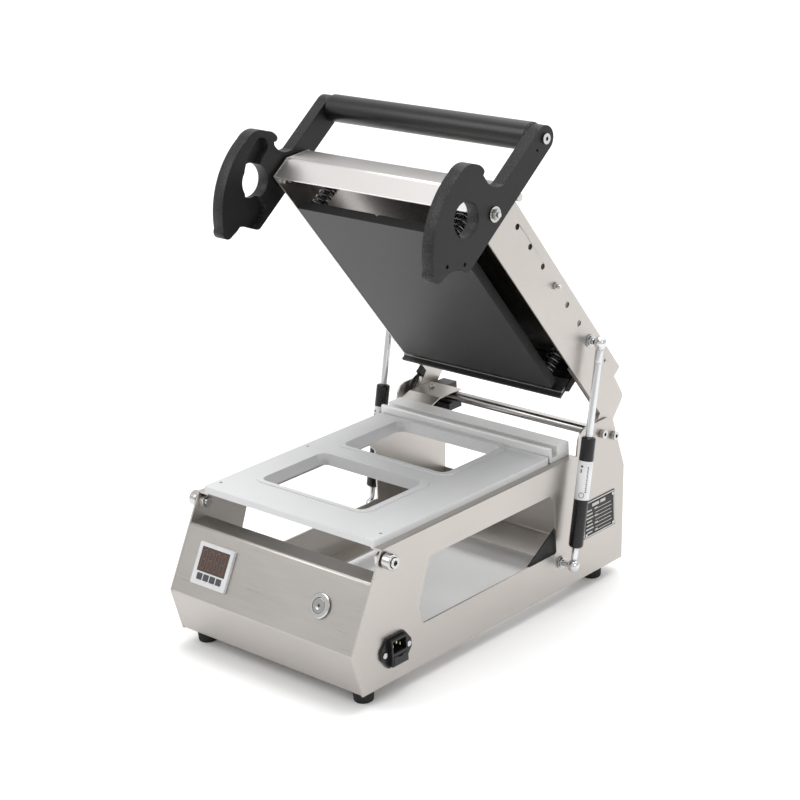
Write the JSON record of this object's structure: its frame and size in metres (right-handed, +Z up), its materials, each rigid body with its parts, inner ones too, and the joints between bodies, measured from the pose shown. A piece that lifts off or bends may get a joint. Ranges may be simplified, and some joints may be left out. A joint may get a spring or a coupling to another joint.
{
  "type": "manual tray sealing machine",
  "caption": "Tabletop food tray sealer: folded steel base with a mould for trays, heated lid on gas springs, and a cam handle that locks the lid down on rollers.",
  "frame": {"origin": "centre of the bounding box's bottom face, under the feet, with the lid open as stored", "axes": "+Z up, -Y to the front where the controls are, +X to the operator's right; the hinge runs along X at the back"},
  "size_m": [0.3032, 0.4192, 0.5084],
  "materials": {
    "stainless_sheet": "fine brushed",
    "satin_aluminium": "satin machined",
    "coated_plate": "baked non-stick coating on an aluminium plate",
    "black_sheet": "matt black",
    "black_plastic": "fine moulded grain",
    "black_coated_tube": "satin black",
    "polished_rod": "hard chrome",
    "rubber": "matt",
    "controller_silver": "silver bezel",
    "display_tint": "dark tinted window",
    "bright_steel": "bright turned steel",
    "contact_brass": "plain",
    "plate_blank": "printed matt metal, left blank"
  },
  "bodies": {
    "base": {"side_plate_left": "stainless_sheet", "side_plate_right": "stainless_sheet", "front_panel": "stainless_sheet", "control_box_rear": "stainless_sheet", "rear_floor": "stainless_sheet", "stud_backing_plate": "black_sheet", "mould_plate": "satin_aluminium", "mould_screws": "bright_steel", "cutter_bar": "satin_aluminium", "hinge_shaft": "bright_steel", "tie_rod": "bright_steel", "rod_screws": "bright_steel", "cable_block": "black_plastic", "cable_cover": "stainless_sheet", "cable_cover_screw": "bright_steel", "heater_lead": "rubber", "feet": "rubber", "roller_studs": "bright_steel", "gas_spring_foot_studs": "polished_rod", "nameplate": "plate_blank", "nameplate_rivets": "bright_steel", "controller_case": "controller_silver", "controller_window": "display_tint", "switch_body": "bright_steel", "inlet_housing": "black_plastic", "inlet_pins": "contact_brass", "inlet_screws": "bright_steel"},
    "lid": {"lid_cover": "stainless_sheet", "lid_inner_plate": "black_sheet", "handle_pivots": "bright_steel", "handle_stop_pins": "bright_steel", "lid_side_screws": "bright_steel", "gas_spring_lid_studs": "polished_rod", "film_knife": "bright_steel", "knife_clamp": "bright_steel", "knife_holder": "black_sheet", "plate_springs": "bright_steel", "lid_side_right": "stainless_sheet", "lid_side_left": "stainless_sheet", "hinge_arm_right": "stainless_sheet", "hinge_arm_left": "stainless_sheet", "lead_clip": "black_sheet"},
    "heater": {"heating_plate": "coated_plate", "plate_guide_bolts": "bright_steel"},
    "handle": {"cam_plate_right": "black_plastic", "cam_plate_left": "black_plastic", "handle_tube": "black_coated_tube", "handle_bolts": "bright_steel"},
    "gas_cylinder_r": {"gas_cylinder_right": "black_coated_tube"},
    "gas_cylinder_l": {"gas_cylinder_left": "black_coated_tube"},
    "gas_rod_r": {"gas_rod_right": "polished_rod"},
    "gas_rod_l": {"gas_rod_left": "polished_rod"},
    "roller_r": {"roller_right": "bright_steel"},
    "roller_l": {"roller_left": "bright_steel"},
    "power_button": {"switch_cap": "bright_steel"},
    "key_1": {"controller_key_1": "black_plastic"},
    "key_2": {"controller_key_2": "black_plastic"},
    "key_3": {"controller_key_3": "black_plastic"},
    "key_4": {"controller_key_4": "black_plastic"},
    "fuse_tray": {"fuse_drawer": "black_plastic"}
  },
  "joints": [
    {"name": "lid_hinge", "type": "hinge", "parent": "base", "child": "lid", "pos_m": [0, 0.17017, 0.1635], "axis": [1, 0, 0], "range_deg": [0, 53], "stiffness_Nm_per_rad": 8, "springref_deg": -114.59, "deforming": ["heater_lead"]},
    {"name": "heater_float", "type": "slide", "parent": "lid", "child": "heater", "axis": [0, 0.7986, 0.6018], "range_m": [0, 0.005], "stiffness_N_per_m": 9000, "springref_m": -0.005, "deforming": ["plate_springs"]},
    {"name": "handle_hinge", "type": "hinge", "parent": "lid", "child": "handle", "pos_m": [0, -0.00977, 0.43885], "axis": [1, 0, 0], "range_deg": [0, 90]},
    {"name": "gas_swing_r", "type": "hinge", "parent": "base", "child": "gas_cylinder_r", "pos_m": [0.141, 0.09887, 0.0455], "axis": [1, 0, 0], "range_deg": [0, 21.97]},
    {"name": "gas_rod_slide_r", "type": "slide", "parent": "gas_cylinder_r", "child": "gas_rod_r", "axis": [0, 0.2227, 0.9749], "range_m": [-0.0632, 0]},
    {"name": "gas_swing_l", "type": "hinge", "parent": "base", "child": "gas_cylinder_l", "pos_m": [-0.141, 0.09887, 0.0455], "axis": [1, 0, 0], "range_deg": [0, 21.97]},
    {"name": "gas_rod_slide_l", "type": "slide", "parent": "gas_cylinder_l", "child": "gas_rod_l", "axis": [0, 0.2227, 0.9749], "range_m": [-0.0632, 0]},
    {"name": "roller_spin_r", "type": "hinge", "parent": "base", "child": "roller_r", "pos_m": [0.1315, -0.15803, 0.1403], "axis": [1, 0, 0], "continuous": true},
    {"name": "roller_spin_l", "type": "hinge", "parent": "base", "child": "roller_l", "pos_m": [-0.1315, -0.15803, 0.1403], "axis": [1, 0, 0], "continuous": true},
    {"name": "power_button_press", "type": "slide", "parent": "base", "child": "power_button", "axis": [0, 0.8857, -0.4643], "range_m": [0, 0.0015], "stiffness_N_per_m": 1000, "springref_m": -0.001},
    {"name": "key_1_press", "type": "slide", "parent": "base", "child": "key_1", "axis": [0, 0.8857, -0.4643], "range_m": [0, 0.0008], "stiffness_N_per_m": 800, "springref_m": -0.0008},
    {"name": "key_2_press", "type": "slide", "parent": "base", "child": "key_2", "axis": [0, 0.8857, -0.4643], "range_m": [0, 0.0008], "stiffness_N_per_m": 800, "springref_m": -0.0008},
    {"name": "key_3_press", "type": "slide", "parent": "base", "child": "key_3", "axis": [0, 0.8857, -0.4643], "range_m": [0, 0.0008], "stiffness_N_per_m": 800, "springref_m": -0.0008},
    {"name": "key_4_press", "type": "slide", "parent": "base", "child": "key_4", "axis": [0, 0.8857, -0.4643], "range_m": [0, 0.0008], "stiffness_N_per_m": 800, "springref_m": -0.0008},
    {"name": "fuse_drawer_pull", "type": "slide", "parent": "base", "child": "fuse_tray", "axis": [1, 0, 0], "range_m": [0, 0.018]}
  ],
  "couplings": [
    {"joint": "gas_swing_r", "follows": "lid_hinge", "ratio": 0.40887},
    {"joint": "gas_rod_slide_r", "follows": "lid_hinge", "m_per_rad": -0.067196},
    {"joint": "gas_swing_l", "follows": "lid_hinge", "ratio": 0.40887},
    {"joint": "gas_rod_slide_l", "follows": "lid_hinge", "m_per_rad": -0.067196}
  ]
}
